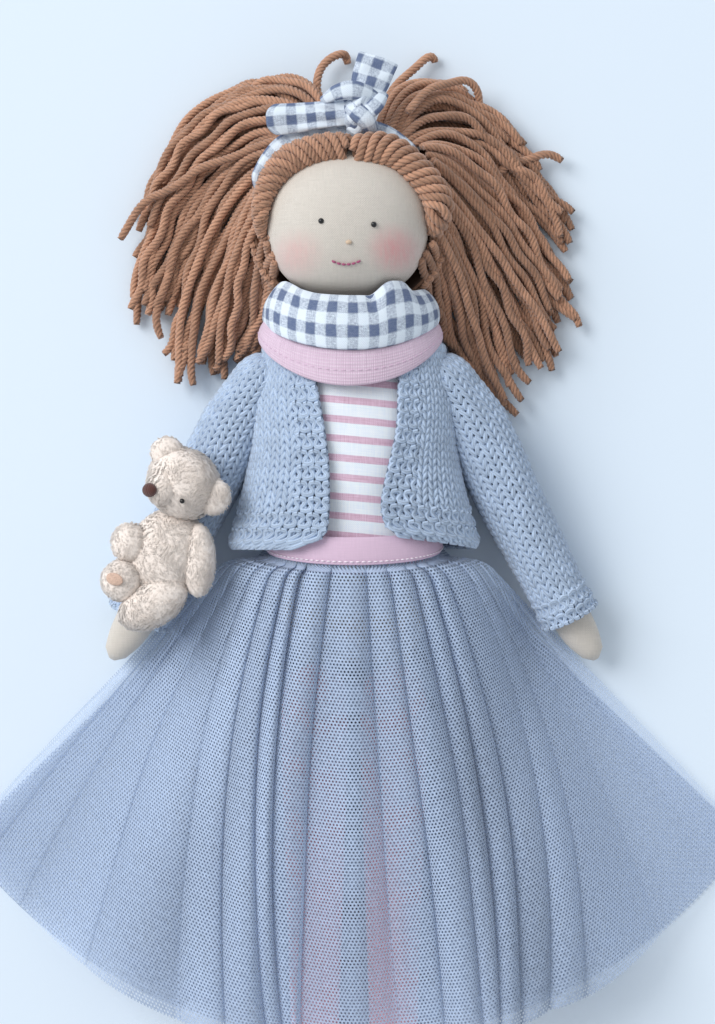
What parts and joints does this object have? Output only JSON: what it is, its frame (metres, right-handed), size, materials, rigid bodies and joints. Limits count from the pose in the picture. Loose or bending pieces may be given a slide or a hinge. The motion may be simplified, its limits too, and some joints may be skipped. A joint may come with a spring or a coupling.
{
  "type": "rag doll",
  "caption": "Stuffed cloth doll lying on its back, with yarn hair, knitted cardigan, striped top, cowl, net skirt and a small plush bear sewn to one arm.",
  "frame": {"origin": "middle of the doll's base, on the surface it lies on", "axes": "+Y towards the head, +Z out of the doll's front, +X towards its left hand"},
  "size_m": [0.3236, 0.4542, 0.0581],
  "materials": {
    "skin_cloth": "plain woven cotton over fibre filling",
    "stocking_cloth": "plain pink cotton over fibre filling",
    "hair_yarn": "twisted wool yarn",
    "gingham": "small checked cotton, raw edges",
    "pink_linen": "dusty pink linen",
    "striped_cotton": "narrow stripes on white cotton",
    "cardigan_knit": "stocking stitch in mottled yarn",
    "waistband_cotton": "dusty pink cotton, topstitched",
    "skirt_net": "soft gathered net",
    "bear_plush": "short curly pile",
    "bear_nose_thread": "satin stitch",
    "black_bead": "glossy bead",
    "mouth_thread": "embroidery thread"
  },
  "bodies": {
    "torso": {"torso": "skin_cloth", "head": "skin_cloth", "left_eye": "black_bead", "right_eye": "black_bead", "nose": "skin_cloth", "mouth_stitches": "mouth_thread", "hair_cap": "hair_yarn", "left_hair_roll": "hair_yarn", "right_hair_roll": "hair_yarn", "left_hair_lock_1": "hair_yarn", "left_hair_lock_2": "hair_yarn", "left_hair_lock_3": "hair_yarn", "left_hair_lock_4": "hair_yarn", "left_hair_lock_5": "hair_yarn", "left_hair_lock_6": "hair_yarn", "right_hair_lock_1": "hair_yarn", "right_hair_lock_2": "hair_yarn", "right_hair_lock_3": "hair_yarn", "right_hair_lock_4": "hair_yarn", "right_hair_lock_5": "hair_yarn", "right_hair_lock_6": "hair_yarn", "headband": "gingham", "headband_knot": "gingham", "headband_long_tail": "gingham", "headband_short_tail": "gingham", "striped_top": "striped_cotton", "cardigan_back": "cardigan_knit", "cardigan_left_front": "cardigan_knit", "cardigan_right_front": "cardigan_knit", "cowl_lining_loop": "pink_linen", "cowl_gingham_loop": "gingham", "waistband": "waistband_cotton", "skirt_back": "skirt_net", "skirt_front_outer": "skirt_net", "skirt_front_under": "skirt_net"},
    "left_shoulder": {"left_shoulder_tab": "skin_cloth"},
    "right_shoulder": {"right_shoulder_tab": "skin_cloth"},
    "left_arm": {"left_arm": "skin_cloth", "left_sleeve": "cardigan_knit"},
    "right_arm": {"right_arm": "skin_cloth", "right_sleeve": "cardigan_knit", "bear_body": "bear_plush", "bear_head": "bear_plush", "bear_left_ear": "bear_plush", "bear_right_ear": "bear_plush", "bear_left_arm": "bear_plush", "bear_right_arm": "bear_plush", "bear_left_leg": "bear_plush", "bear_right_leg": "bear_plush", "bear_nose": "bear_nose_thread", "bear_left_eye": "black_bead", "bear_right_eye": "black_bead"},
    "hips": {"hip_flap": "skin_cloth"},
    "left_leg": {"left_leg": "stocking_cloth"},
    "right_leg": {"right_leg": "stocking_cloth"}
  },
  "joints": [
    {"name": "left_arm_lift", "type": "hinge", "parent": "torso", "child": "left_shoulder", "pos_m": [0.04, 0.08871, 0.0241], "axis": [-1, 0, 0], "range_deg": [0, 95]},
    {"name": "left_arm_spread", "type": "hinge", "parent": "left_shoulder", "child": "left_arm", "pos_m": [0.04, 0.08871, 0.0241], "axis": [0, 0, 1], "range_deg": [0, 20]},
    {"name": "right_arm_lift", "type": "hinge", "parent": "torso", "child": "right_shoulder", "pos_m": [-0.04, 0.08871, 0.0241], "axis": [-1, 0, 0], "range_deg": [0, 95]},
    {"name": "right_arm_spread", "type": "hinge", "parent": "right_shoulder", "child": "right_arm", "pos_m": [-0.04, 0.08871, 0.0241], "axis": [0, 0, -1], "range_deg": [0, 20]},
    {"name": "hips_fold", "type": "hinge", "parent": "torso", "child": "hips", "pos_m": [0, -0.02033, 0.0138], "axis": [-1, 0, 0], "range_deg": [0, 90], "deforming": ["skirt_front_outer", "skirt_front_under"]},
    {"name": "left_leg_spread", "type": "hinge", "parent": "hips", "child": "left_leg", "pos_m": [0.016, -0.02638, 0.0138], "axis": [0, 0, 1], "range_deg": [0, 10]},
    {"name": "right_leg_spread", "type": "hinge", "parent": "hips", "child": "right_leg", "pos_m": [-0.016, -0.02638, 0.0138], "axis": [0, 0, -1], "range_deg": [0, 10]}
  ]
}
